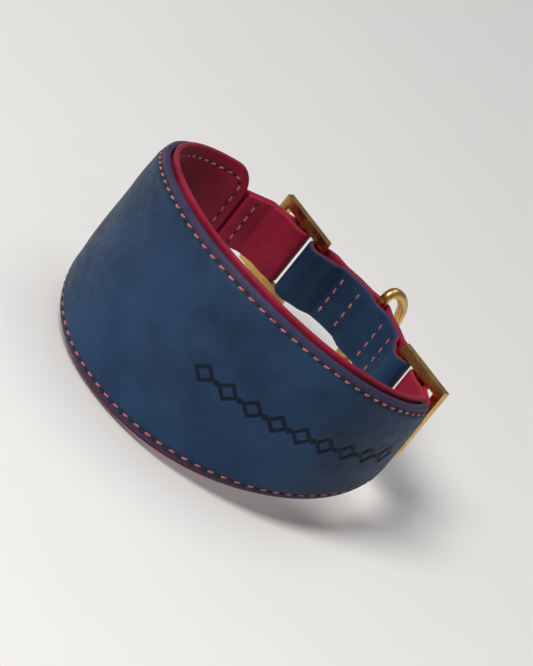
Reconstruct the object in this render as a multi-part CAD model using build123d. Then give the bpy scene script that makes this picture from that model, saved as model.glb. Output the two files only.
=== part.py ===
from build123d import *
import math
import os

# Martingale dog collar, in millimetres. +Z is the neck axis, toward the head. +X points at the closure
# in front of the throat, and -Y is the right side. The origin is the centre of the neck opening.
# The right half is modelled, and the left half is its mirror image about the XZ plane.

# Band: leather outside, foam padding and a lining, sewn together. It runs from the nape to the throat.
OUTER_RADIUS = 44.0
OUTER_THICKNESS = 1.7
PADDING_THICKNESS = 1.35
LINING_THICKNESS = 1.3
LAYER_GAP = 0.02
NAPE_WIDTH = 48.0
TAPER_WIDTH = 16.5  # what the taper would reach at the throat
TAPER_START = 6.0  # degrees from the nape
TAPER_SPAN = 160.0
BAND_END = 116.0  # degrees from the nape
NAPE_GAP = 0.8  # between the two halves, at the flex line
END_CORNER_RADIUS = 6.0
LINING_PROUD = 1.3  # how far the lining shows past the leather
PADDING_INSET = 4.0
PADDING_END = 105.0
SECTIONS = 13

# Stitch rows
STITCH_INSET = 2.0
THREAD_WIDTH = 0.8
THREAD_HEIGHT = 0.3

# Three-bar frame. Its plane is parallel to YZ, and its bars are parallel to Z.
FRAME_BAR_X = 30.0
CENTRE_BAR_Y = -25.3
BAR_SPACING = 7.2
BAR_WIDTH = 2.4
FRAME_THICKNESS = 2.0
FRAME_HEIGHT = 21.0
BAR_ROUNDING = 0.9

# End tab and control strap
STRAP_WIDTH = 15.5
STRAP_THICKNESS = 1.3
BAR_CLEARANCE = 0.3
EYE_CLEARANCE = 0.55  # on each side of the bar that runs along in the control strap's eye
TAB_ROOT = 9.0  # degrees of the tab that lie inside the band
TAB_APPROACH = 30.0  # degrees between the frame and the tab's last stretch
TAB_OPENING = 4.2  # where the tab's layers part, before the centre bar
TAB_RETURN_GAP = 0.8  # from the end of the band to the folded end of the tab

# Control strap, bowed outward from bar to bar, and the leash ring in its middle
RING_BAR_X = 38.0
EYE_SLACK = 3.6  # how far the frame's bar runs along inside the eye
EYE_MERGE = 3.0  # the length in which the two layers close up
EYE_END = 2.15  # from the frame's bar to the middle of the strap that folds round it
RING_WIRE = 2.6
RING_RADIUS = 11.3
RING_CORNER = 2.0
RING_GAP = 0.4  # between the ring's bar and the strap's cut ends
RING_WRAP = (-60.0, 35.0)  # degrees of the ring's bar that the right half covers

PADDING_RADIUS = OUTER_RADIUS - OUTER_THICKNESS - LAYER_GAP
LINING_RADIUS = PADDING_RADIUS - PADDING_THICKNESS - LAYER_GAP
LAYER = STRAP_THICKNESS / 2 + LAYER_GAP / 2
WRAP_RADIUS = BAR_WIDTH / 2 + BAR_CLEARANCE + STRAP_THICKNESS / 2
EYE_RADIUS = BAR_WIDTH / 2 + EYE_CLEARANCE + STRAP_THICKNESS / 2
EYE_OPEN = EYE_SLACK + BAR_WIDTH / 2 + BAR_CLEARANCE
EYE_CLOSED = EYE_OPEN + EYE_MERGE
THROAT_BAR_Y = CENTRE_BAR_Y + BAR_SPACING
BOW_RISE = RING_BAR_X - FRAME_BAR_X
BOW_RADIUS = (THROAT_BAR_Y**2 + BOW_RISE**2) / (2 * BOW_RISE)
BOW_CENTRE_X = RING_BAR_X - BOW_RADIUS
BOW_HALF_ANGLE = math.degrees(math.asin(-THROAT_BAR_Y / BOW_RADIUS))


def band_width(from_nape):
    """Width of the outer leather at an angle from the nape, in degrees."""
    t = min(max((from_nape - TAPER_START) / TAPER_SPAN, 0.0), 1.0)
    return NAPE_WIDTH - (NAPE_WIDTH - TAPER_WIDTH) * t * t * (3 - 2 * t)


def section_plane(from_nape, radius):
    """The plane across the right half at an angle from the nape: its X is radial and its Y is up."""
    angle = math.radians(from_nape - 180)
    outward = Vector(math.cos(angle), math.sin(angle), 0)
    return Plane(origin=outward * radius, x_dir=outward, z_dir=outward.cross(Vector(0, 0, 1)))


def band_strip(outside, thickness, height, start, end, level=lambda angle: 0.0):
    """A curved strip with its outer face at radius outside. height and level are functions of the angle."""
    sections = []
    for step in range(SECTIONS):
        angle = start + (end - start) * step / (SECTIONS - 1)
        outline = Pos(0, level(angle)) * Rectangle(thickness, height(angle))
        sections.append(section_plane(angle, outside - thickness / 2) * outline)
    return loft(sections)


def rounded_end(strip, radius):
    """Rounds the strip's two corners at the throat."""
    end = section_plane(BAND_END, OUTER_RADIUS)
    short = [edge for edge in strip.edges() if edge.length < 2 * OUTER_THICKNESS]
    corners = [edge for edge in short if abs(end.to_local_coords(edge.center()).Z) < 0.1]
    return fillet(corners, radius)


def nape_angle(radius):
    return math.degrees(NAPE_GAP / 2 / radius)


def outer_leather():
    strip = band_strip(OUTER_RADIUS, OUTER_THICKNESS, band_width, nape_angle(OUTER_RADIUS), BAND_END)
    return rounded_end(strip, END_CORNER_RADIUS)


def padding():
    def height(angle):
        return band_width(angle) - 2 * PADDING_INSET

    return band_strip(PADDING_RADIUS, PADDING_THICKNESS, height, nape_angle(PADDING_RADIUS), PADDING_END)


def lining():
    def height(angle):
        return band_width(angle) + 2 * LINING_PROUD

    strip = band_strip(LINING_RADIUS, LINING_THICKNESS, height, nape_angle(LINING_RADIUS), BAND_END)
    return rounded_end(strip, END_CORNER_RADIUS + LINING_PROUD)


def edge_stitching(side):
    """The row along the upper edge (side 1) or the lower edge (side -1) of the outer leather."""
    end = BAND_END - math.degrees((END_CORNER_RADIUS + STITCH_INSET / 2) / OUTER_RADIUS)
    outside = OUTER_RADIUS + THREAD_HEIGHT + LAYER_GAP

    def level(angle):
        return side * (band_width(angle) / 2 - STITCH_INSET)

    return band_strip(outside, THREAD_HEIGHT, lambda angle: THREAD_WIDTH, nape_angle(outside), end, level)


def end_stitching():
    """The row across the throat end of the outer leather, which holds the end tab."""
    middle = BAND_END - math.degrees(STITCH_INSET / OUTER_RADIUS)
    half_width = math.degrees(THREAD_WIDTH / 2 / OUTER_RADIUS)
    height = band_width(middle) - 2 * END_CORNER_RADIUS
    outside = OUTER_RADIUS + THREAD_HEIGHT + LAYER_GAP
    return band_strip(outside, THREAD_HEIGHT, lambda angle: height, middle - half_width, middle + half_width)


def upright(outline, height):
    """Extrudes an outline in the XY plane to the given height, centred on the middle of the band."""
    return extrude(outline, amount=height / 2, both=True)


def strap_outline(path):
    return trace(path, line_width=STRAP_THICKNESS)


def tab_frame():
    """The centre bar and the tab's directions there: along it, toward the bar, and across it, outward."""
    angle = math.radians(TAB_APPROACH)
    along = Vector(math.sin(angle), math.cos(angle))
    return Vector(FRAME_BAR_X, CENTRE_BAR_Y), along, Vector(along.Y, -along.X)


def tab_corners():
    """Where the tab leaves the band, its direction there, and where it turns toward the bar."""
    angle = math.radians(BAND_END - 180)
    outward = Vector(math.cos(angle), math.sin(angle))
    leaving = Vector(-outward.Y, outward.X)
    start = outward * (PADDING_RADIUS - PADDING_THICKNESS / 2)
    bar, along, across = tab_frame()
    aim = bar + across * LAYER
    distance = (aim - start).dot(across) / leaving.dot(across)
    return start, leaving, outward, start + leaving * distance


def end_tab():
    """The strap that comes out of the band, folds round the frame's centre bar and is sewn to itself."""
    start, leaving, outward, corner = tab_corners()
    bar, along, across = tab_frame()
    turn = math.radians(180 - BAND_END - TAB_APPROACH)
    inner_corner = corner - outward * 2 * LAYER - leaving * 2 * LAYER * math.tan(turn / 2)
    folded_end = start + leaving * TAB_RETURN_GAP - outward * 2 * LAYER
    points = [start, corner, bar + across * LAYER - along * TAB_OPENING]
    points += [bar + across * WRAP_RADIUS - along, bar + (across + along) * WRAP_RADIUS]
    points += [bar + (along - across) * WRAP_RADIUS, bar - across * WRAP_RADIUS - along]
    points += [bar - across * LAYER - along * TAB_OPENING, inner_corner, folded_end]
    loop = FilletPolyline(*points, radius=WRAP_RADIUS * 0.97)
    root = CenterArc((0, 0), start.length, BAND_END - 180 - TAB_ROOT, TAB_ROOT)
    return upright(strap_outline(loop) + strap_outline(root), STRAP_WIDTH)


def stitch_row(point, along, across, height):
    """A row parallel to Z that lies on a strap's surface at point."""
    outline = Rectangle(THREAD_HEIGHT, THREAD_WIDTH)
    place = Plane(origin=point + across * (THREAD_HEIGHT / 2 + LAYER_GAP), x_dir=across, z_dir=(0, 0, 1))
    return upright(place * outline, height)


def tab_stitching():
    """The row that sews the tab's two layers together between the band and the frame."""
    start, leaving, outward, corner = tab_corners()
    point = start + (corner - start) * 0.5 + outward * STRAP_THICKNESS / 2
    return stitch_row(point, leaving, outward, STRAP_WIDTH - 3)


def frame():
    """The rectangular brass frame with its outside, centre and throat bars."""
    width = 2 * BAR_SPACING + BAR_WIDTH
    body = Box(FRAME_THICKNESS, width, FRAME_HEIGHT)
    slot = Box(2 * FRAME_THICKNESS, BAR_SPACING - BAR_WIDTH, FRAME_HEIGHT - 2 * BAR_WIDTH)
    for side in (-1, 1):
        body -= Pos(0, side * BAR_SPACING / 2, 0) * slot
    uprights = body.edges().filter_by(Axis.Z)
    inner = [e for e in uprights if e.center().Y > -BAR_WIDTH / 2 - 0.1 and e.center().Y < width / 2 - 0.1]
    body = fillet(inner, BAR_ROUNDING)
    return Pos(FRAME_BAR_X, CENTRE_BAR_Y, 0) * body


def bow_point(distance, offset):
    """A point on the right half of the control strap: distance from the frame's bar, offset outward."""
    angle = math.radians(-BOW_HALF_ANGLE) + distance / BOW_RADIUS
    reach = BOW_RADIUS + offset
    return Vector(BOW_CENTRE_X + reach * math.cos(angle), reach * math.sin(angle))


def eye_points(side):
    """Half of the long eye round the frame's bar, from the closed-up strap to the eye's end."""
    stations = [(EYE_CLOSED, LAYER), (EYE_OPEN - 0.4, EYE_RADIUS), (EYE_OPEN / 2, EYE_RADIUS)]
    stations += [(-EYE_END, EYE_RADIUS)]
    return [bow_point(distance, side * offset) for distance, offset in stations]


def closed_up_strap(bar_distance):
    """The sewn stretch of the control strap, from its eye to bar_distance before the ring's bar."""
    first = math.degrees(EYE_CLOSED / BOW_RADIUS)
    start = -BOW_HALF_ANGLE + first
    size = BOW_HALF_ANGLE - first - math.degrees(bar_distance / BOW_RADIUS)
    path = CenterArc((BOW_CENTRE_X, 0), BOW_RADIUS, start, size)
    return trace(path, line_width=2 * STRAP_THICKNESS + LAYER_GAP)


def control_strap(holds_ring):
    """One half of the control strap. The right half also holds the ring's bar."""
    eye = FilletPolyline(*eye_points(1), *reversed(eye_points(-1)), radius=EYE_END * 0.97)
    end_gap = RING_WIRE / 2 + RING_GAP
    outline = strap_outline(eye) + closed_up_strap(end_gap)
    if holds_ring:
        first, last = RING_WRAP
        radius = RING_WIRE / 2 + BAR_CLEARANCE + STRAP_THICKNESS / 2
        wrap = CenterArc((RING_BAR_X, 0), radius, first, last - first)
        outline += strap_outline(wrap)
    return upright(outline, STRAP_WIDTH)


def control_stitching():
    """Two rows across the control strap: one behind the eye and one beside the ring."""
    near_eye = EYE_CLOSED + 1.2
    near_ring = math.radians(BOW_HALF_ANGLE) * BOW_RADIUS - RING_WIRE / 2 - RING_GAP - 3.4
    rows = []
    for distance in (near_eye, near_ring):
        surface = bow_point(distance, STRAP_THICKNESS + LAYER_GAP)
        across = (surface - Vector(BOW_CENTRE_X, 0)).normalized()
        rows.append(stitch_row(surface, Vector(-across.Y, across.X), across, STRAP_WIDTH - 3))
    return Compound(children=rows)


def leash_ring():
    """The D-ring: a straight bar in the control strap and a round bow in front of it."""
    half_disc = Circle(RING_RADIUS) - Pos(-RING_RADIUS, 0) * Rectangle(2 * RING_RADIUS, 2 * RING_RADIUS)
    outline = fillet(half_disc.vertices(), RING_CORNER)
    ring_plane = Plane(origin=(RING_BAR_X, 0, 0), x_dir=(1, 0, 0), z_dir=(0, -1, 0))
    path = (ring_plane * outline).wire()
    start = Plane(origin=path @ 0, z_dir=path % 0)
    return sweep(start * Circle(RING_WIRE / 2), path=path)


def mirrored(part):
    return mirror(part, about=Plane.XZ)


def write(part, name):
    export_step(part, f"parts/{name}.step")


os.makedirs("parts", exist_ok=True)

right_parts = {
    "outer_leather": outer_leather(),
    "padding": padding(),
    "lining": lining(),
    "upper_stitching": edge_stitching(1),
    "lower_stitching": edge_stitching(-1),
    "end_stitching": end_stitching(),
    "end_tab": end_tab(),
    "tab_stitching": tab_stitching(),
    "frame": frame(),
    "control_stitching": control_stitching(),
}
for name, part in right_parts.items():
    write(part, f"{name}_right")
    write(mirrored(part), f"{name}_left")

write(control_strap(holds_ring=True), "control_strap_right")
write(mirrored(control_strap(holds_ring=False)), "control_strap_left")
write(leash_ring(), "leash_ring")
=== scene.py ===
import math

import bmesh
import bpy
import numpy as np
from mathutils import Matrix, Vector


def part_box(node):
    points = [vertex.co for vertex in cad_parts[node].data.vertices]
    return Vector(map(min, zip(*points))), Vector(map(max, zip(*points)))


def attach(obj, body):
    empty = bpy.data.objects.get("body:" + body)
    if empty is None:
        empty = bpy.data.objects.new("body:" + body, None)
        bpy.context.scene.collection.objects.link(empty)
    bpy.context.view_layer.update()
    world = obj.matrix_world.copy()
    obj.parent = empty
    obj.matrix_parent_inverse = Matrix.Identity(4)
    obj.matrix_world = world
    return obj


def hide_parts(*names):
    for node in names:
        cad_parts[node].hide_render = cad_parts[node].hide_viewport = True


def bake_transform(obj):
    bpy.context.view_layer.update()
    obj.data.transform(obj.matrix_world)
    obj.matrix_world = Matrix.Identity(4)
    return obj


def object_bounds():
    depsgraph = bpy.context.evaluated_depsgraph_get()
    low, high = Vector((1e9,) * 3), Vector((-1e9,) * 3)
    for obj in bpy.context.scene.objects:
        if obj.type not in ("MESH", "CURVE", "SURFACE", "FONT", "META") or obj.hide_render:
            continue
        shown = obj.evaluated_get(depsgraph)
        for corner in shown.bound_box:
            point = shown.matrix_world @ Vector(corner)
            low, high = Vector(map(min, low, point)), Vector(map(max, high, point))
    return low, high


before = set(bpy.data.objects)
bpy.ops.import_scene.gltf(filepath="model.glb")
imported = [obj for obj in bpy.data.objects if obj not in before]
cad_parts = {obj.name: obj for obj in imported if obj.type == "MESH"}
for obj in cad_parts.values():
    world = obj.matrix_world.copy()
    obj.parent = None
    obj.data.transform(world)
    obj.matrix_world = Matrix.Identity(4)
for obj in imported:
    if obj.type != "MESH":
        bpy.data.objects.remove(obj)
cad_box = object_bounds()

# A martingale collar. The row frame is in metres; the shapes below are worked out in millimetres.
# +Z is toward the dog's head, +X toward the closure at the throat, -Y the dog's right side.
MM = 0.001


def node_reach(node, axis):
    """A CAD node's lowest and highest coordinate along an axis, in millimetres."""
    low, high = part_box(node)
    return low[axis] / MM, high[axis] / MM


# Band. Turns are degrees round it from the nape, and levels are heights.
OUTER_RADIUS = 44.0
OUTER_THICKNESS = 1.7
LINING_RADIUS = 40.91
LINING_THICKNESS = 1.3
PADDING_RADIUS = 42.28
PADDING_THICKNESS = 1.35
PADDING_INSET = 4.0
PADDING_GAP = 0.05
PADDING_SPARE = 0.2
NAPE_WIDTH = 2 * node_reach("outer_leather_right", 2)[1]
TAPER_WIDTH = 16.5
TAPER_START = 6.0
TAPER_SPAN = 160.0
BAND_END = 116.0
END_CORNER_RADIUS = 6.0
LINING_PROUD = 1.3
BAND_EDGE_ROUND = 0.55

# Relief of the band's faces
PUCKER_DEPTH = 0.78
CROWN_HEIGHT = 0.30
RIPPLE_HEIGHT = 0.07
RIPPLES = 9
LINING_PUCKER_DEPTH = 0.50
LINING_PUFF_HEIGHT = 0.30

# Pressed row of lozenges and dots
PRESS_DEPTH = 0.32
ROW_START = 26.0
ROW_STEP = 9.0
LOZENGES = 9
LOZENGE_HALF_LENGTH = 2.9
LOZENGE_HALF_HEIGHT = 2.7

# Frames, straps and ring
FRAME_BAR_X = sum(node_reach("frame_right", 0)) / 2
CENTRE_BAR_Y = sum(node_reach("frame_right", 1)) / 2
BAR_SPACING = 7.2
BAR_WIDTH = 2.4
STRAP_WIDTH = 15.5
STRAP_THICKNESS = 1.3
STRAP_EDGE_ROUND = 0.45
BAR_CLEARANCE = 0.3
EYE_CLEARANCE = 0.55
RING_BAR_X = 38.0
RING_WIRE = 2.6
EYE_SLACK = 3.6
EYE_MERGE = 3.0
EYE_END = 2.15
EYE_SHOULDER = 0.4  # the eye starts to close this far before its opening ends
RING_GAP = 0.12
RING_FLAT = 0.9  # half the flat stretch over the ring's bar
RING_FLARE = 4.2  # the strap's layers part this far from the ring's bar
TAB_APPROACH = 30.0
TAB_OPENING = 4.2
TAB_ROOT_RADIUS = PADDING_RADIUS - PADDING_THICKNESS / 2
TAB_ROOT = (8.0, 1.0)  # degrees inside the band's end where the tab starts and where it leaves the band
TAB_RETURN = 0.8
TAB_SEAM = 0.45  # the seam's place, as a share of the way from the band's end to the tab's bend
FRAME_BEVEL = 0.16
WELD_DISTANCE = 0.002

# Stitching
STITCH_INSET = 2.0
STITCH_PITCH = 3.4
STITCH_LENGTH = 1.75
THREAD_RADIUS = 0.28
THREAD_LIFT = 0.12
THREAD_PLIES = 2
STITCH_RINGS = 9
STITCH_SIDES = 10
STITCH_SLANT = 0.12
HOLE_SIDES = 12
HOLE_TOP = 0.04
HOLE_THICKNESS = 0.12
GROOVE_DEPTH = 0.20
GROOVE_HALF = 0.5
SEAM_STEPS = 700
CROSS_ROW_HEIGHT = STRAP_WIDTH - 3.5
EYE_ROW = 1.3  # from where an eye's layers meet to its row
RING_ROW = 5.4  # from the ring's bar to the row beside it


# ---------------------------------------------------------------- materials


class Nodes:
    """A short way to write a node material."""

    def __init__(self, name):
        self.material = bpy.data.materials.new(name)
        self.material.use_nodes = True
        self.tree = self.material.node_tree
        self.shader = self.tree.nodes["Principled BSDF"]
        self.coordinates = self.add("ShaderNodeTexCoord").outputs["Object"]

    def add(self, kind, **settings):
        node = self.tree.nodes.new(kind)
        for key, value in settings.items():
            setattr(node, key, value)
        return node

    def link(self, source, target):
        self.tree.links.new(source, target)

    def noise(self, scale, detail=4.0, roughness=0.55, stretch=(1, 1, 1)):
        """Noise in the row frame; scale is in lumps per metre."""
        mapping = self.add("ShaderNodeMapping")
        mapping.inputs["Scale"].default_value = stretch
        self.link(self.coordinates, mapping.inputs["Vector"])
        noise = self.add("ShaderNodeTexNoise")
        noise.inputs["Scale"].default_value = scale
        noise.inputs["Detail"].default_value = detail
        noise.inputs["Roughness"].default_value = roughness
        self.link(mapping.outputs["Vector"], noise.inputs["Vector"])
        return noise.outputs["Fac"]

    def cells(self, scale):
        """The distance to the nearest edge of a cell; scale is in cells per metre."""
        voronoi = self.add("ShaderNodeTexVoronoi", feature="DISTANCE_TO_EDGE")
        voronoi.inputs["Scale"].default_value = scale
        self.link(self.coordinates, voronoi.inputs["Vector"])
        return voronoi.outputs["Distance"]

    def attribute(self, name):
        """A number that the mesh keeps at each point."""
        return self.add("ShaderNodeAttribute", attribute_name=name).outputs["Fac"]

    def span(self, value, low, high, to_low=0.0, to_high=1.0):
        """value from low..high mapped smoothly to to_low..to_high."""
        node = self.add("ShaderNodeMapRange", interpolation_type="SMOOTHSTEP")
        self.link(value, node.inputs["Value"])
        for key, number in zip(("From Min", "From Max", "To Min", "To Max"), (low, high, to_low, to_high)):
            node.inputs[key].default_value = number
        return node.outputs["Result"]

    def math(self, operation, a, b):
        node = self.add("ShaderNodeMath", operation=operation)
        for socket, value in zip(node.inputs, (a, b)):
            if isinstance(value, (int, float)):
                socket.default_value = value
            else:
                self.link(value, socket)
        return node.outputs["Value"]

    def mix(self, amount, a, b):
        """Colour a where amount is 0 and colour b where it is 1."""
        node = self.add("ShaderNodeMix", data_type="RGBA")
        self.link(amount, node.inputs["Factor"])
        for socket, value in ((node.inputs[6], a), (node.inputs[7], b)):
            if isinstance(value, tuple):
                socket.default_value = (*value, 1.0)
            else:
                self.link(value, socket)
        return node.outputs[2]

    def bump(self, height, distance, strength=1.0, after=None):
        """A normal from height, where 1 stands distance metres proud. after is the normal it builds on."""
        node = self.add("ShaderNodeBump")
        node.inputs["Strength"].default_value = strength
        node.inputs["Distance"].default_value = distance
        self.link(height, node.inputs["Height"])
        if after:
            self.link(after, node.inputs["Normal"])
        return node.outputs["Normal"]

    def finish(self, colour=None, roughness=None, normal=None, **settings):
        """Joins the shader up; a setting is a socket's name with _ for each space."""
        for key, value in settings.items():
            self.shader.inputs[key.replace("_", " ")].default_value = value
        for key, value in (("Base Color", colour), ("Roughness", roughness), ("Normal", normal)):
            if value is not None:
                self.link(value, self.shader.inputs[key])
        return self.material


def leather(name, base, dark, light, edge=None, margin=None):
    """Smooth finished leather: mottled colour, fine pebble grain and soft creases. edge is the colour near
    the cut edge, partly its burnished finish and partly a painted highlight of light grazing the edge, which
    fades out between margin's two distances in millimetres. The mesh's edge_mm attribute is the distance, and
    its pressed attribute darkens the pressed row with painted shade."""
    n = Nodes(name)
    mottle = n.span(n.noise(55, 5), 0.35, 0.68)
    cloud = n.span(n.noise(16, 3), 0.35, 0.65)
    colour = n.mix(cloud, dark, base)
    colour = n.mix(n.math("MULTIPLY", mottle, 0.55), colour, light)
    pores = n.span(n.cells(2300), 0.0, 0.12)
    colour = n.mix(n.span(pores, 0.0, 1.0, 0.35, 0.0), colour, dark)
    # painted shade: the pressed row darkens towards black the deeper it is pressed
    pressed = n.span(n.attribute("pressed"), 0.1, 0.75, 0.0, 0.92)
    colour = n.mix(pressed, colour, tuple(0.25 * c for c in dark))
    if edge:
        # near the cut edge: its burnished colour together with a painted highlight of grazing light, fading
        # inward
        edge_tint_and_highlight = n.span(n.attribute("edge_mm"), *margin, 0.8, 0.0)
        edge_tint_and_highlight = n.math("MULTIPLY", edge_tint_and_highlight, n.span(n.noise(260, 4), 0.25, 0.62, 0.55, 1.0))
        colour = n.mix(edge_tint_and_highlight, colour, edge)
    scuff = n.noise(420, 6, 0.65)
    rough = n.span(scuff, 0.3, 0.72, 0.42, 0.58)
    fine = n.math("MULTIPLY", pores, 0.7)
    height = n.math("ADD", fine, n.math("MULTIPLY", n.noise(1500, 3), 0.5))
    normal = n.bump(height, 0.00006)
    normal = n.bump(n.noise(140, 4), 0.00025, 0.5, after=normal)
    return n.finish(colour, rough, normal, Specular_IOR_Level=0.19)


def thread_material(name, base, dark, light):
    """Thread with fine fibres and a tone that changes along the row."""
    n = Nodes(name)
    tone = n.span(n.noise(900, 3), 0.35, 0.65)
    colour = n.mix(tone, dark, light)
    colour = n.mix(n.span(n.noise(120, 2), 0.4, 0.6, 0.0, 0.6), colour, base)
    fibres = n.noise(5200, 2, stretch=(1, 1, 0.25))
    return n.finish(colour, n.span(tone, 0, 1, 0.55, 0.75), n.bump(fibres, 0.00004), Sheen_Weight=0.25)


def brass_material():
    """Cast brass: brushed and a little tarnished, with small scratches."""
    n = Nodes("brass")
    tarnish = n.span(n.noise(130, 5, 0.6), 0.42, 0.72)
    colour = n.mix(tarnish, (0.74, 0.45, 0.14), (0.40, 0.26, 0.10))
    spots = n.span(n.noise(1100, 4), 0.56, 0.74)
    colour = n.mix(n.math("MULTIPLY", spots, 0.5), colour, (0.20, 0.13, 0.06))
    scratches = n.noise(1500, 3, stretch=(1, 1, 0.05))
    rough = n.span(n.noise(300, 5), 0.3, 0.7, 0.17, 0.38)
    normal = n.bump(scratches, 0.00003, 0.6)
    normal = n.bump(n.noise(160, 3), 0.00012, 0.35, after=normal)
    return n.finish(colour, rough, normal, Metallic=1.0)


def foam_material():
    """Dark open-cell foam."""
    n = Nodes("foam")
    pores = n.span(n.cells(1500), 0.0, 0.2)
    colour = n.mix(pores, (0.012, 0.012, 0.014), (0.05, 0.05, 0.056))
    return n.finish(colour, n.span(n.noise(500), 0.3, 0.7, 0.85, 0.97), n.bump(pores, 0.0002))


def hole_shade_material():
    """Painted shade: the dark inside of a needle hole."""
    n = Nodes("needle_hole_shade")
    colour = n.mix(n.noise(900), (0.004, 0.005, 0.008), (0.012, 0.013, 0.02))
    return n.finish(colour, n.span(n.noise(700), 0.3, 0.7, 0.75, 0.95))


# base, dark and light
NAVY_TONES = ((0.0085, 0.036, 0.091), (0.0045, 0.018, 0.048), (0.018, 0.058, 0.128))
# PLUM is the edge colour: the burnished cut edge together with a painted grazing highlight
PLUM = (0.050, 0.030, 0.072)
NAVY = leather("navy_leather", *NAVY_TONES, edge=PLUM, margin=(1.1, 1.9))
STRAP_NAVY = leather("strap_navy", *NAVY_TONES, edge=PLUM, margin=(0.25, 0.9))
CRIMSON = leather("crimson_leather", (0.25, 0.007, 0.030), (0.18, 0.004, 0.020), (0.35, 0.018, 0.049))
THREAD = thread_material("coral_thread", (0.36, 0.070, 0.080), (0.21, 0.036, 0.048), (0.48, 0.120, 0.120))
BRASS = brass_material()
FOAM = foam_material()
NEEDLE_HOLE_SHADE = hole_shade_material()


# ---------------------------------------------------------------- mesh helpers


def new_piece(name, points, faces, materials, face_materials=None, attributes=None):
    """A smooth-shaded mesh object from points in millimetres. face_materials gives each face's material,
    and attributes gives numbers for each point."""
    mesh = bpy.data.meshes.new(name)
    mesh.from_pydata((np.asarray(points, float) * MM).tolist(), [], faces)
    for material in materials:
        mesh.materials.append(material)
    if face_materials is not None:
        mesh.polygons.foreach_set("material_index", face_materials)
    for key, values in (attributes or {}).items():
        mesh.attributes.new(key, "FLOAT", "POINT").data.foreach_set("value", np.asarray(values, float))
    mesh.update()
    mesh.shade_smooth()
    piece = bpy.data.objects.new(name, mesh)
    bpy.context.scene.collection.objects.link(piece)
    return piece


def grid_faces(rows, columns, first=0, wrap=False):
    """Quads of a rows x columns grid of points numbered row by row."""
    faces = []
    for i in range(rows - 1):
        for j in range(columns if wrap else columns - 1):
            k = (j + 1) % columns
            a, b = first + i * columns + j, first + i * columns + k
            c, d = b + columns, a + columns
            faces.append((a, b, c, d))
    return faces


def smooth(x):
    """A ramp from 0 to 1 with soft ends."""
    x = np.clip(x, 0.0, 1.0)
    return x * x * (3 - 2 * x)


# ---------------------------------------------------------------- band


def band_width(turn):
    """Width of the outer leather."""
    return NAPE_WIDTH - (NAPE_WIDTH - TAPER_WIDTH) * smooth((np.abs(turn) - TAPER_START) / TAPER_SPAN)


def from_end(turn):
    """Millimetres along the band from its nearer end."""
    return np.radians(BAND_END - np.abs(turn)) * OUTER_RADIUS


def outline_half(turn, proud):
    """Half the band's height at turn, its rounded corners included."""
    radius = END_CORNER_RADIUS + proud
    lost = np.clip(radius - from_end(turn), 0, radius)
    return band_width(turn) / 2 + proud - (radius - np.sqrt(radius**2 - lost**2))


def edge_distance(turn, level, proud):
    """Millimetres from the band's outline."""
    radius = END_CORNER_RADIUS + proud
    along = from_end(turn)
    up = band_width(turn) / 2 + proud - np.abs(level)
    dx, dz = np.maximum(radius - along, 0), np.maximum(radius - up, 0)
    corner = radius - np.hypot(dx, dz)
    return np.where((dx > 0) & (dz > 0), corner, np.minimum(along, up))


# how far inside the outline the grid's first rows and columns lie, close together at the rounded edge
EDGE_STEPS = np.array(
    [0, 0.05, 0.16, 0.32, 0.52, 0.8, 1.15, 1.5, 1.85, 2.2, 2.5, 2.75, 3.0, 3.25, 3.5, 3.9, 4.4]
)


def band_turns(spacing):
    """Turns of the grid's columns, closer together at the ends."""
    ends = np.degrees(EDGE_STEPS / OUTER_RADIUS)
    span = BAND_END - ends[-1]
    count = int(2 * math.radians(span) * OUTER_RADIUS / spacing)
    middle = np.linspace(-span, span, count)
    return np.concatenate([-BAND_END + ends[:-1], middle, BAND_END - ends[:-1][::-1]])


def band_levels(turns, proud, spacing):
    """Heights of the grid's rows in each column, closer together at the two edges."""
    half = outline_half(turns, proud)[:, None]
    reach = EDGE_STEPS[-1]
    inner = half - reach
    count = int((NAPE_WIDTH - 2 * reach) / spacing)
    middle = inner * np.linspace(1, -1, count)[None, :]
    top = half - EDGE_STEPS[None, :-1]
    return np.concatenate([top, middle, -top[:, ::-1]], axis=1)


def around(turn, radius, level):
    """Points on a cylinder about the neck's axis."""
    angle = np.radians(180 + turn)
    return np.stack([radius * np.cos(angle), radius * np.sin(angle), level + 0 * radius], axis=-1)


def band_sheet(name, outside, thickness, proud, relief, materials, spacing):
    """A closed curved sheet with rounded edges, proud of the outer leather's outline by proud. outside is
    its outer face's radius. relief(distance, turn, level) returns how far out of true each face lies, the
    outer one and then the inner one."""
    turns = band_turns(spacing)
    levels = band_levels(turns, proud, spacing)
    turn = np.repeat(turns[:, None], levels.shape[1], axis=1)
    distance = np.clip(edge_distance(turn, levels, proud), 0, None)
    rounding = np.sqrt(1 - (1 - np.clip(distance / BAND_EDGE_ROUND, 0, 1)) ** 2)
    rounding[[0, -1], :] = 0
    rounding[:, [0, -1]] = 0
    middle = outside - thickness / 2
    outer_offset, inner_offset = relief(distance, turn, levels)
    # the inner face shares the outline's points with the outer face
    shared = rounding == 0
    inner_offset = np.where(shared, outer_offset, inner_offset)
    outer = around(turn, middle + rounding * thickness / 2 + outer_offset, levels).reshape(-1, 3)
    inner = around(turn, middle - rounding * thickness / 2 + inner_offset, levels).reshape(-1, 3)
    rows, columns = levels.shape
    numbers = np.arange(rows * columns)
    is_shared = shared.reshape(-1)
    inner_number = np.where(is_shared, numbers, 0)
    inner_number[~is_shared] = rows * columns + np.arange((~is_shared).sum())
    faces = grid_faces(rows, columns)
    faces += [tuple(int(inner_number[k]) for k in reversed(face)) for face in grid_faces(rows, columns)]
    points = np.concatenate([outer, inner[~is_shared]])
    edge = np.concatenate([distance.reshape(-1), distance.reshape(-1)[~is_shared]])
    pressed = np.zeros(len(points))
    pressed[: rows * columns] = np.clip((inner_offset - outer_offset).reshape(-1) / PRESS_DEPTH, 0, 1)
    return new_piece(name, points, faces, materials, attributes={"edge_mm": edge, "pressed": pressed})


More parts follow.
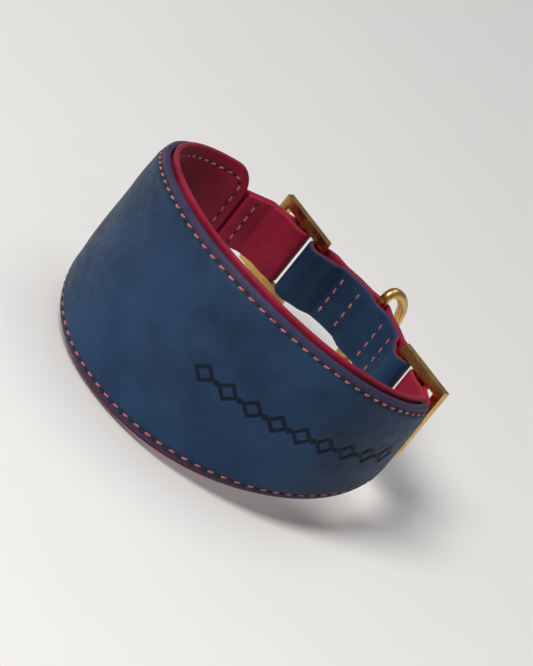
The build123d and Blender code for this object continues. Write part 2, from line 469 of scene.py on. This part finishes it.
def lozenge_row(turn, level):
    """Depth, 0 to 1, of the pressed row on the right side of the band: hollow lozenges, with a dot
    between each two."""
    depth = np.zeros_like(turn)
    for k in range(LOZENGES):
        centre = ROW_START + k * ROW_STEP
        along = np.radians(turn - centre) * OUTER_RADIUS
        lozenge = np.abs(along) / LOZENGE_HALF_LENGTH + np.abs(level) / LOZENGE_HALF_HEIGHT
        depth = np.maximum(depth, smooth((1.15 - lozenge) / 0.22) * smooth((lozenge - 0.5) / 0.22))
        dot = np.hypot(along - math.radians(ROW_STEP / 2) * OUTER_RADIUS, level)
        if k < LOZENGES - 1:
            depth = np.maximum(depth, smooth((1.0 - dot) / 0.4))
    return depth


def groove_shape(across):
    """The groove that the thread pulls into the leather, 1 at its bottom."""
    return np.exp(-((across / GROOVE_HALF) ** 2))


def outer_relief(distance, turn, level):
    """Crowned over the padding, drawn in along the stitches and at the edge, with the pressed row."""
    drawn_in = -PUCKER_DEPTH * (1 - smooth(distance / 3.6))
    groove = -GROOVE_DEPTH * groove_shape(distance - STITCH_INSET)
    crown = CROWN_HEIGHT * smooth((distance - 2.9) / 9)
    ripple = RIPPLE_HEIGHT * np.sin(np.radians(turn) * RIPPLES + 0.3 * level) * smooth((distance - 2.4) / 6)
    base = drawn_in + crown + ripple
    pressed = -PRESS_DEPTH * lozenge_row(turn, level)
    return base + groove + pressed, base


def lining_relief(distance, turn, level):
    """Drawn out to the stitches at the edge, and puffed inward by the padding."""
    puff = -LINING_PUFF_HEIGHT * smooth((distance - 4.4) / 8)
    drawn_in = LINING_PUCKER_DEPTH * (1 - smooth(distance / 5))
    groove = GROOVE_DEPTH * groove_shape(distance - STITCH_INSET - LINING_PROUD)
    return drawn_in, drawn_in + puff + groove


def padding_relief(distance, turn, level):
    """The padding follows the band's curve."""
    return 0 * distance, 0 * distance


outer = band_sheet("outer_leather", OUTER_RADIUS, OUTER_THICKNESS, 0.0, outer_relief, [NAVY], 0.42)
lining = band_sheet("lining", LINING_RADIUS, LINING_THICKNESS, LINING_PROUD, lining_relief, [CRIMSON], 0.6)
foam_radius = PADDING_RADIUS - PADDING_GAP
foam_thickness = PADDING_THICKNESS - PADDING_SPARE
padding = band_sheet("padding", foam_radius, foam_thickness, -PADDING_INSET, padding_relief, [FOAM], 1.5)


def blend_at_nape(piece, slot, *replaced):
    """The real band bends all round; here the piece is fixed in place and the CAD parts it replaces are
    hidden.
    """
    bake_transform(piece)
    names = [f"{name}_{side}" for name in replaced for side in ("right", "left")]
    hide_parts(*names)


# ---------------------------------------------------------------- stitches


def unit(v):
    """Vectors of length 1 in the same directions."""
    return v / np.linalg.norm(v, axis=-1, keepdims=True)


def stitch_points():
    """One stitch lying along X, with the twist of its plies. Its ends dip below Z = 0, into the leather."""
    points = []
    for i in range(STITCH_RINGS):
        t = 2 * i / (STITCH_RINGS - 1) - 1
        x = t * STITCH_LENGTH / 2
        thick = THREAD_RADIUS * (0.55 + 0.45 * math.sqrt(max(1 - t**4, 0)))
        z = THREAD_LIFT * (1 - abs(t) ** 3) - 0.62 * THREAD_RADIUS * abs(t) ** 5
        for j in range(STITCH_SIDES):
            a = 2 * math.pi * j / STITCH_SIDES
            r = thick * (1 + 0.13 * math.cos(THREAD_PLIES * (a - 2.6 * t)))
            points.append((x, r * math.cos(a), z + 0.8 * r * math.sin(a)))
    return np.array(points)


def stitch_faces(first):
    """A stitch's faces, its points numbered from first."""
    faces = grid_faces(STITCH_RINGS, STITCH_SIDES, first, wrap=True)
    last = first + (STITCH_RINGS - 1) * STITCH_SIDES
    faces.append(tuple(first + j for j in range(STITCH_SIDES)))
    faces.append(tuple(last + j for j in reversed(range(STITCH_SIDES))))
    return faces


def hole_points(half_length, half_width, groove_depth):
    """A thin patch of painted shade for a needle hole, which lies in the groove between two stitches: its
    top, then its underside.
    """
    angles = np.linspace(0, 2 * math.pi, HOLE_SIDES, endpoint=False)
    rim = np.stack([half_length * np.cos(angles), half_width * np.sin(angles)], axis=1)
    flat = np.vstack([[0, 0], 0.6 * rim, rim])
    rise = groove_depth * (1 - groove_shape(flat[:, 1]))
    top = np.column_stack([flat, rise + HOLE_TOP])
    return np.vstack([top, top - (0, 0, HOLE_THICKNESS)])


def hole_faces(first):
    """A patch's faces, its points numbered from first."""
    sides, size = HOLE_SIDES, 1 + 2 * HOLE_SIDES
    faces = []
    for j in range(sides):
        k = (j + 1) % sides
        inner, outer = (1 + j, 1 + k), (1 + sides + j, 1 + sides + k)
        top = [(0, *inner), (inner[0], outer[0], outer[1], inner[1])]
        faces += top + [tuple(size + v for v in reversed(face)) for face in top]
        faces.append((outer[0], outer[0] + size, outer[1] + size, outer[1]))
    return [tuple(first + v for v in face) for face in faces]


STITCH = stitch_points()
# patches of painted shade for the needle holes along each row
BAND_HOLE = hole_points(0.84, 0.62, GROOVE_DEPTH)
LINING_HOLE = hole_points(0.60, 0.34, GROOVE_DEPTH)
STRAP_HOLE = hole_points(0.60, 0.34, 0.0)


class Stitching:
    """Gathers stitches and needle holes, which are patches of painted shade, into one piece."""

    def __init__(self):
        self.points, self.faces, self.material = [], [], []
        self.count = 0

    def place(self, shape, faces, origin, along, outward, material):
        """Adds a shape with its X along the row and its Z outward."""
        across = np.cross(outward, along)
        self.points.append(origin + shape @ np.array([along, across, outward]))
        self.faces += faces
        self.material += [material] * len(faces)
        self.count += len(shape)

    def stitch(self, origin, along, outward):
        """Adds one saddle stitch, which is a little askew to its row."""
        across = np.cross(outward, along)
        along = unit(along + STITCH_SLANT * across)
        self.place(STITCH, stitch_faces(self.count), origin, along, outward, 0)

    def row(self, path, outward, hole, closed=False):
        """Adds stitches at an even pitch along a path of points, with the outward direction at each, and a
        needle hole, a patch of painted shade, between each two."""
        if closed:
            path, outward = np.vstack([path, path[:1]]), np.vstack([outward, outward[:1]])
        run = np.concatenate([[0], np.cumsum(np.linalg.norm(np.diff(path, axis=0), axis=1))])
        count = max(int(round(run[-1] / STITCH_PITCH)), 1)
        pitch = run[-1] / count

        def at(distance, values):
            return np.array([np.interp(distance, run, values[:, k]) for k in range(3)])

        def seat(here):
            """The point, the direction along the row and the direction outward there."""
            along = unit(at(here + 0.4, path) - at(here - 0.4, path))
            normal = at(here, outward)
            return at(here, path), along, unit(normal - along * normal.dot(along))

        for k in range(count):
            self.stitch(*seat((k + 0.5) * pitch))
        for k in range(count + (0 if closed else 1)):
            here = min(max(k * pitch, 0.01), run[-1] - 0.01)
            self.place(hole, hole_faces(self.count), *seat(here), 1)

    def piece(self, name):
        """The finished piece."""
        points = np.concatenate(self.points)
        return new_piece(name, points, self.faces, [THREAD, NEEDLE_HOLE_SHADE], face_materials=self.material)


def seam_outline(inset, proud):
    """(turn, level) of a closed line, inset inside the outline of a sheet that stands proud by proud."""
    radius = END_CORNER_RADIUS + proud - inset
    centre_turn = BAND_END - math.degrees((END_CORNER_RADIUS + proud) / OUTER_RADIUS)
    centre_level = band_width(centre_turn) / 2 + proud - inset - radius
    top_turns = np.linspace(-centre_turn, centre_turn, SEAM_STEPS)
    top = [(t, band_width(t) / 2 + proud - inset) for t in top_turns]
    corner = [
        (centre_turn + math.degrees(radius * math.cos(a) / OUTER_RADIUS), centre_level + radius * math.sin(a))
        for a in np.radians(np.linspace(90, 0, 13)[1:])
    ]
    right = corner + [(t, -z) for t, z in reversed(corner)]
    bottom = [(t, -z) for t, z in reversed(top)]
    left = [(-t, -z) for t, z in right]
    return np.array(top + right + bottom + left)


def seam_row(stitching, inset, proud, radius, relief, face, direction, hole):
    """A seam that follows the band's outline, on a sheet's outer surface (face 0, direction 1) or its
    inner surface (face 1, direction -1)."""
    line = seam_outline(inset, proud)
    turn, level = line[:, 0], line[:, 1]
    offset = relief(np.full_like(turn, inset), turn, level)[face]
    path = around(turn, radius + offset, level)
    outward = around(turn, np.ones_like(turn), 0 * level) * direction
    stitching.row(path, outward, hole, closed=True)


band_seam = Stitching()
seam_row(band_seam, STITCH_INSET, 0.0, OUTER_RADIUS, outer_relief, 0, 1, BAND_HOLE)
lining_inset = STITCH_INSET + LINING_PROUD
lining_inside = LINING_RADIUS - LINING_THICKNESS
seam_row(band_seam, lining_inset, LINING_PROUD, lining_inside, lining_relief, 1, -1, LINING_HOLE)
band_stitches = band_seam.piece("band_stitching")

blend_at_nape(outer, "navy_leather", "outer_leather")
blend_at_nape(lining, "crimson_leather", "lining")
blend_at_nape(padding, "foam", "padding")
blend_at_nape(band_stitches, "coral_thread", "upper_stitching", "lower_stitching", "end_stitching")


# ---------------------------------------------------------------- straps


STRAIGHT = 1.55  # half the angle at a corner, in radians, past which it needs no rounding


def rounded_line(points, radius, closed=False, step=0.35):
    """The points' polyline in XY with its corners rounded, sampled evenly."""
    points = [np.array(p, float) for p in points]
    count = len(points)
    line = []
    corners = range(count) if closed else range(1, count - 1)
    if not closed:
        line.append(points[0])
    for k in corners:
        before, here, after = points[k - 1], points[k], points[(k + 1) % count]
        a, b = unit(before - here), unit(after - here)
        half = math.acos(np.clip(a.dot(b), -1, 1)) / 2
        if half > STRAIGHT:
            line.append(here)
            continue
        shorter = min(np.linalg.norm(before - here), np.linalg.norm(after - here))
        trim = min(radius / math.tan(half), 0.49 * shorter)
        actual = trim * math.tan(half)
        centre = here + unit(a + b) * actual / math.sin(half)
        start, end = here + a * trim, here + b * trim
        first = math.atan2(*(start - centre)[::-1])
        turn = (math.atan2(*(end - centre)[::-1]) - first + math.pi) % (2 * math.pi) - math.pi
        arcs = max(int(abs(turn) * actual / step), 4)
        for i in range(arcs + 1):
            angle = first + turn * i / arcs
            line.append(centre + actual * np.array([math.cos(angle), math.sin(angle)]))
    if not closed:
        line.append(points[-1])
    line = np.array(line + ([line[0]] if closed else []))
    run = np.concatenate([[0], np.cumsum(np.linalg.norm(np.diff(line, axis=0), axis=1))])
    keep = np.concatenate([[True], np.diff(run) > 1e-6])
    run, line = run[keep], line[keep]
    even = np.linspace(0, run[-1], max(int(run[-1] / step), 8) + 1)
    line = np.stack([np.interp(even, run, line[:, k]) for k in range(2)], axis=1)
    return line[:-1] if closed else line


def line_normals(line, closed):
    """The unit normals to the right of a line in XY."""
    if closed:
        ahead = np.roll(line, -1, axis=0) - np.roll(line, 1, axis=0)
    else:
        ahead = np.gradient(line, axis=0)
    ahead = unit(ahead)
    return np.stack([ahead[:, 1], -ahead[:, 0]], axis=1)


# how far inside a strap's edge the grid's columns lie, from the edge to near its middle
STRAP_LEVELS = np.array([0, 0.04, 0.14, 0.3, 0.5, 0.8, 1.3, 2.0, 2.8, 3.8, 5.2, 6.6])


def strap(name, line, materials, closed=False):
    """A flat strap that stands on edge and follows a line in XY. Material 0 is on the line's right face and
    material 1, where there is one, on its left face."""
    half = STRAP_WIDTH / 2
    levels = half - STRAP_LEVELS
    levels = np.concatenate([levels, [0], -levels[::-1]])
    distance = half - np.abs(levels)
    rounding = np.sqrt(1 - (1 - np.clip(distance / STRAP_EDGE_ROUND, 0, 1)) ** 2)
    normal = line_normals(line, closed)
    rows, columns = len(line), len(levels)

    def face_points(side, pinch):
        offset = side * rounding[None, :] * STRAP_THICKNESS / 2 * pinch[:, None]
        xy = line[:, None, :] + normal[:, None, :] * offset[:, :, None]
        return np.concatenate([xy, np.broadcast_to(levels[None, :, None], (rows, columns, 1))], axis=2)

    # the two ends of an open strap are rounded off
    pinch = np.ones(rows)
    if not closed:
        run = np.concatenate([[0], np.cumsum(np.linalg.norm(np.diff(line, axis=0), axis=1))])
        nearest = np.minimum(run, run[-1] - run)
        pinch = np.sqrt(1 - (1 - np.clip(nearest / STRAP_EDGE_ROUND, 0, 1)) ** 2) * 0.92 + 0.08
    right, left = face_points(1, pinch), face_points(-1, pinch)
    points = np.concatenate([right.reshape(-1, 3), left.reshape(-1, 3)])
    size = rows * columns
    wrap_rows = rows + 1 if closed else rows

    def number(i, j, face):
        return face * size + (i % rows) * columns + j

    faces, material = [], []
    for i in range(wrap_rows - 1):
        for j in range(columns - 1):
            faces.append((number(i, j, 0), number(i, j + 1, 0), number(i + 1, j + 1, 0), number(i + 1, j, 0)))
            material.append(0)
            faces.append((number(i, j, 1), number(i + 1, j, 1), number(i + 1, j + 1, 1), number(i, j + 1, 1)))
            material.append(len(materials) - 1)
    if not closed:
        for i in (0, rows - 1):
            for j in range(columns - 1):
                quad = (number(i, j, 0), number(i, j, 1), number(i, j + 1, 1), number(i, j + 1, 0))
                faces.append(quad if i == 0 else quad[::-1])
                material.append(0)
    edge = np.tile(distance, 2 * rows)
    piece = new_piece(name, points, faces, materials, face_materials=material, attributes={"edge_mm": edge})
    merge(piece)
    return piece


def merge(piece):
    """Joins the points that two faces of a strap share along its edges."""
    mesh = bmesh.new()
    mesh.from_mesh(piece.data)
    bmesh.ops.remove_doubles(mesh, verts=mesh.verts, dist=WELD_DISTANCE * MM)
    bmesh.ops.recalc_face_normals(mesh, faces=mesh.faces)
    mesh.to_mesh(piece.data)
    mesh.free()


def mirror_y(points):
    """The left side's points in XY, from the right side's."""
    return np.array(points) * np.array([1, -1])


# from the line midway between two layers to the middle of one, and from a bar's axis to the middle of the
# strap round it, in the end tab and in the control strap's eye
LAYER = STRAP_THICKNESS / 2 + 0.02
WRAP = BAR_WIDTH / 2 + BAR_CLEARANCE + STRAP_THICKNESS / 2
EYE = BAR_WIDTH / 2 + EYE_CLEARANCE + STRAP_THICKNESS / 2


def tab_line():
    """The right end tab: out of the band, round the centre bar and back to its folded end. With the line
    come the place of its seam and the direction outward there."""
    end = math.radians(BAND_END - 180)
    outward = np.array([math.cos(end), math.sin(end)])
    leaving = np.array([-outward[1], outward[0]])
    start = outward * TAB_ROOT_RADIUS
    approach = math.radians(TAB_APPROACH)
    along = np.array([math.sin(approach), math.cos(approach)])
    across = np.array([along[1], -along[0]])
    bar = np.array([FRAME_BAR_X, CENTRE_BAR_Y])
    aim = bar + across * LAYER
    corner = start + leaving * ((aim - start).dot(across) / leaving.dot(across))
    turn = math.radians(180 - BAND_END - TAB_APPROACH)
    inner_corner = corner - outward * 2 * LAYER - leaving * 2 * LAYER * math.tan(turn / 2)
    root_turns = np.radians(np.linspace(BAND_END - 180 - TAB_ROOT[0], BAND_END - 180 - TAB_ROOT[1], 6))
    points = [np.array([math.cos(a), math.sin(a)]) * TAB_ROOT_RADIUS for a in root_turns]
    points += [corner, bar + across * LAYER - along * TAB_OPENING]
    points += [bar + across * WRAP - along, bar + (across + along) * WRAP]
    points += [bar + (along - across) * WRAP, bar - across * WRAP - along]
    points += [bar - across * LAYER - along * TAB_OPENING, inner_corner]
    points.append(start + leaving * TAB_RETURN - outward * 2 * LAYER)
    seam = start + leaving * np.linalg.norm(corner - start) * TAB_SEAM + outward * STRAP_THICKNESS / 2
    return points, seam, outward


def cross_row(stitching, point, outward):
    """A row of stitches across a strap, through a point in XY on its surface."""
    levels = np.linspace(CROSS_ROW_HEIGHT / 2, -CROSS_ROW_HEIGHT / 2, 40)
    path = np.array([(*point, level) for level in levels])
    stitching.row(path, np.tile((*outward, 0.0), (len(path), 1)), STRAP_HOLE)


def make_tab(side):
    """An end tab and the two faces of its seam."""
    points, seam, outward = tab_line()
    if side == "left":
        points = [mirror_y(p) for p in points]
        seam, outward = mirror_y(seam), mirror_y(outward)
    tab = strap(f"end_tab_{side}_strap", rounded_line(points, WRAP * 0.97), [CRIMSON])
    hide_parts(f"end_tab_{side}")
    rows = Stitching()
    cross_row(rows, seam, outward)
    cross_row(rows, seam - outward * (STRAP_THICKNESS + 2 * LAYER), -outward)
    stitches = rows.piece(f"tab_seam_{side}")
    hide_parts(f"tab_stitching_{side}")
    for piece in (tab, stitches):
        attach(piece, f"band_{side}")


make_tab("right")
make_tab("left")


# ---------------------------------------------------------------- control strap

# the strap bows out from the frames' inner bars to the ring's bar, in an arc of a circle
THROAT_BAR_Y = CENTRE_BAR_Y + BAR_SPACING
RISE = RING_BAR_X - FRAME_BAR_X
BOW_RADIUS = (THROAT_BAR_Y**2 + RISE**2) / (2 * RISE)
BOW_CENTRE_X = RING_BAR_X - BOW_RADIUS
BOW_HALF = math.asin(-THROAT_BAR_Y / BOW_RADIUS)
BOW_LENGTH = 2 * BOW_HALF * BOW_RADIUS
EYE_OPENING = EYE_SLACK + BAR_WIDTH / 2 + BAR_CLEARANCE


def bow_point(distance, offset):
    """distance along the bow from the right frame's bar, and offset outward from it."""
    angle = distance / BOW_RADIUS - BOW_HALF
    reach = BOW_RADIUS + offset
    return np.array([BOW_CENTRE_X + reach * math.cos(angle), reach * math.sin(angle)])


def half_bow_offsets():
    """(distance, offset) of one layer from the eye's end to the ring's bar."""
    half_length = BOW_LENGTH / 2
    ring_pocket = RING_WIRE / 2 + STRAP_THICKNESS / 2 + RING_GAP
    eye = [(-EYE_END, EYE), (EYE_OPENING / 2, EYE), (EYE_OPENING - EYE_SHOULDER, EYE)]
    joined = (EYE_OPENING + EYE_MERGE, half_length - RING_FLARE)
    middle = (joined[0] + half_length - RING_FLARE) / 2
    flat = [(joined[0], LAYER), (middle, LAYER), (joined[1], LAYER)]
    return eye + flat + [(half_length - RING_FLAT, ring_pocket)]


def make_control_strap():
    """One strap doubled round both frames' inner bars and the ring's bar, and the rows that close it."""
    half = half_bow_offsets()
    outer_run = half + [(BOW_LENGTH - d, o) for d, o in reversed(half)]
    inner_run = [(d, -o) for d, o in reversed(outer_run)]
    points = [bow_point(d, o) for d, o in outer_run + inner_run]
    line = rounded_line(points, EYE_END * 0.97, closed=True, step=0.3)
    piece = strap("control_strap", line, [STRAP_NAVY, CRIMSON], closed=True)
    rows = Stitching()
    near_eye = EYE_OPENING + EYE_MERGE + EYE_ROW
    near_ring = BOW_LENGTH / 2 - RING_ROW
    for distance in (near_eye, near_ring, BOW_LENGTH - near_ring, BOW_LENGTH - near_eye):
        for side in (1, -1):
            point = bow_point(distance, side * (STRAP_THICKNESS + 0.02))
            outward = unit(point - np.array([BOW_CENTRE_X, 0])) * side
            cross_row(rows, point, outward)
    stitches = rows.piece("control_seam")
    for obj, slot, nodes in (
        (piece, "navy_leather", "control_strap"),
        (stitches, "coral_thread", "control_stitching"),
    ):
        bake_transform(obj)
        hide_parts(f"{nodes}_right", f"{nodes}_left")


make_control_strap()


# ---------------------------------------------------------------- brass


def soften_edges(part):
    """Breaks the frame's sharp cast edges, which then catch the light."""
    weld = part.modifiers.new("weld", "WELD")
    weld.merge_threshold = WELD_DISTANCE * MM
    bevel = part.modifiers.new("bevel", "BEVEL")
    bevel.width = FRAME_BEVEL * MM
    bevel.segments = 2
    bevel.limit_method = "ANGLE"
    bevel.angle_limit = math.radians(40)
    bevel.harden_normals = True


for node in ("frame_right", "frame_left", "leash_ring"):
    brass_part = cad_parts[node]
    brass_part.data.materials.clear()
    brass_part.data.materials.append(BRASS)
    if node != "leash_ring":
        soften_edges(brass_part)


# ---------------------------------------------------------------- camera, floor and light

AZIMUTH = -60.0
ELEVATION = 24.6
ROLL = 39.0  # the neck axis leans this far to the right of upright
DISTANCE = 1.6
LENS = 368.4
TARGET = Vector((0.3, -2.3, -2.0)) * MM
FLOOR_GAP = 0.4
FLOOR_HALF = 3000


def add_camera():
    """The camera at the photograph's angle; returns its unrolled right, up and backward directions."""
    a, e, r = (math.radians(v) for v in (AZIMUTH, ELEVATION, ROLL))
    back = Vector((math.sin(a) * math.cos(e), -math.cos(a) * math.cos(e), math.sin(e)))
    right = Vector((0, 0, 1)).cross(back).normalized()
    up = back.cross(right)
    x = right * math.cos(r) + up * math.sin(r)
    y = up * math.cos(r) - right * math.sin(r)
    data = bpy.data.cameras.new("camera")
    data.lens = LENS
    data.clip_end = 20
    camera = bpy.data.objects.new("camera", data)
    turn = Matrix((x, y, back)).transposed().to_4x4()
    camera.matrix_world = Matrix.Translation(TARGET + back * DISTANCE) @ turn
    bpy.context.scene.collection.objects.link(camera)
    bpy.context.scene.camera = camera
    return right, up, back


def add_floor():
    """A plain pale floor just under the collar."""
    material = Nodes("pale_floor")
    tone = material.mix(material.noise(3, 3), (0.70, 0.695, 0.685), (0.74, 0.735, 0.725))
    material.finish(tone, material.span(material.noise(40), 0, 1, 0.6, 0.8))
    level = cad_box[0][2] / MM - FLOOR_GAP
    corners = ((-1, -1), (1, -1), (1, 1), (-1, 1))
    points = [(x * FLOOR_HALF, y * FLOOR_HALF, level) for x, y in corners]
    floor = new_piece("floor", points, [(0, 1, 2, 3)], [material.material])


def add_light(name, direction, distance, size, power, colour):
    """A round area light that faces the collar."""
    data = bpy.data.lights.new(name, "AREA")
    data.shape = "DISK"
    data.size = size
    data.energy = power
    data.color = colour
    light = bpy.data.objects.new(name, data)
    light.location = direction.normalized() * distance
    light.rotation_euler = direction.to_track_quat("Z", "Y").to_euler()
    bpy.context.scene.collection.objects.link(light)


def add_world(strength, colour):
    """Even light from all round."""
    world = bpy.data.worlds.new("world")
    world.use_nodes = True
    background = world.node_tree.nodes["Background"]
    background.inputs["Color"].default_value = (*colour, 1)
    background.inputs["Strength"].default_value = strength
    bpy.context.scene.world = world


right, up, back = add_camera()
add_floor()
add_world(0.21, (0.97, 0.98, 1.0))
add_light("key", back + up * 0.55 - right * 0.45, 1.2, 0.5, 15, (1.0, 0.985, 0.96))
add_light("top", up + back * 0.15 + right * 0.1, 1.4, 0.9, 4.5, (1.0, 1.0, 1.0))
bpy.context.scene.view_settings.view_transform = "Standard"
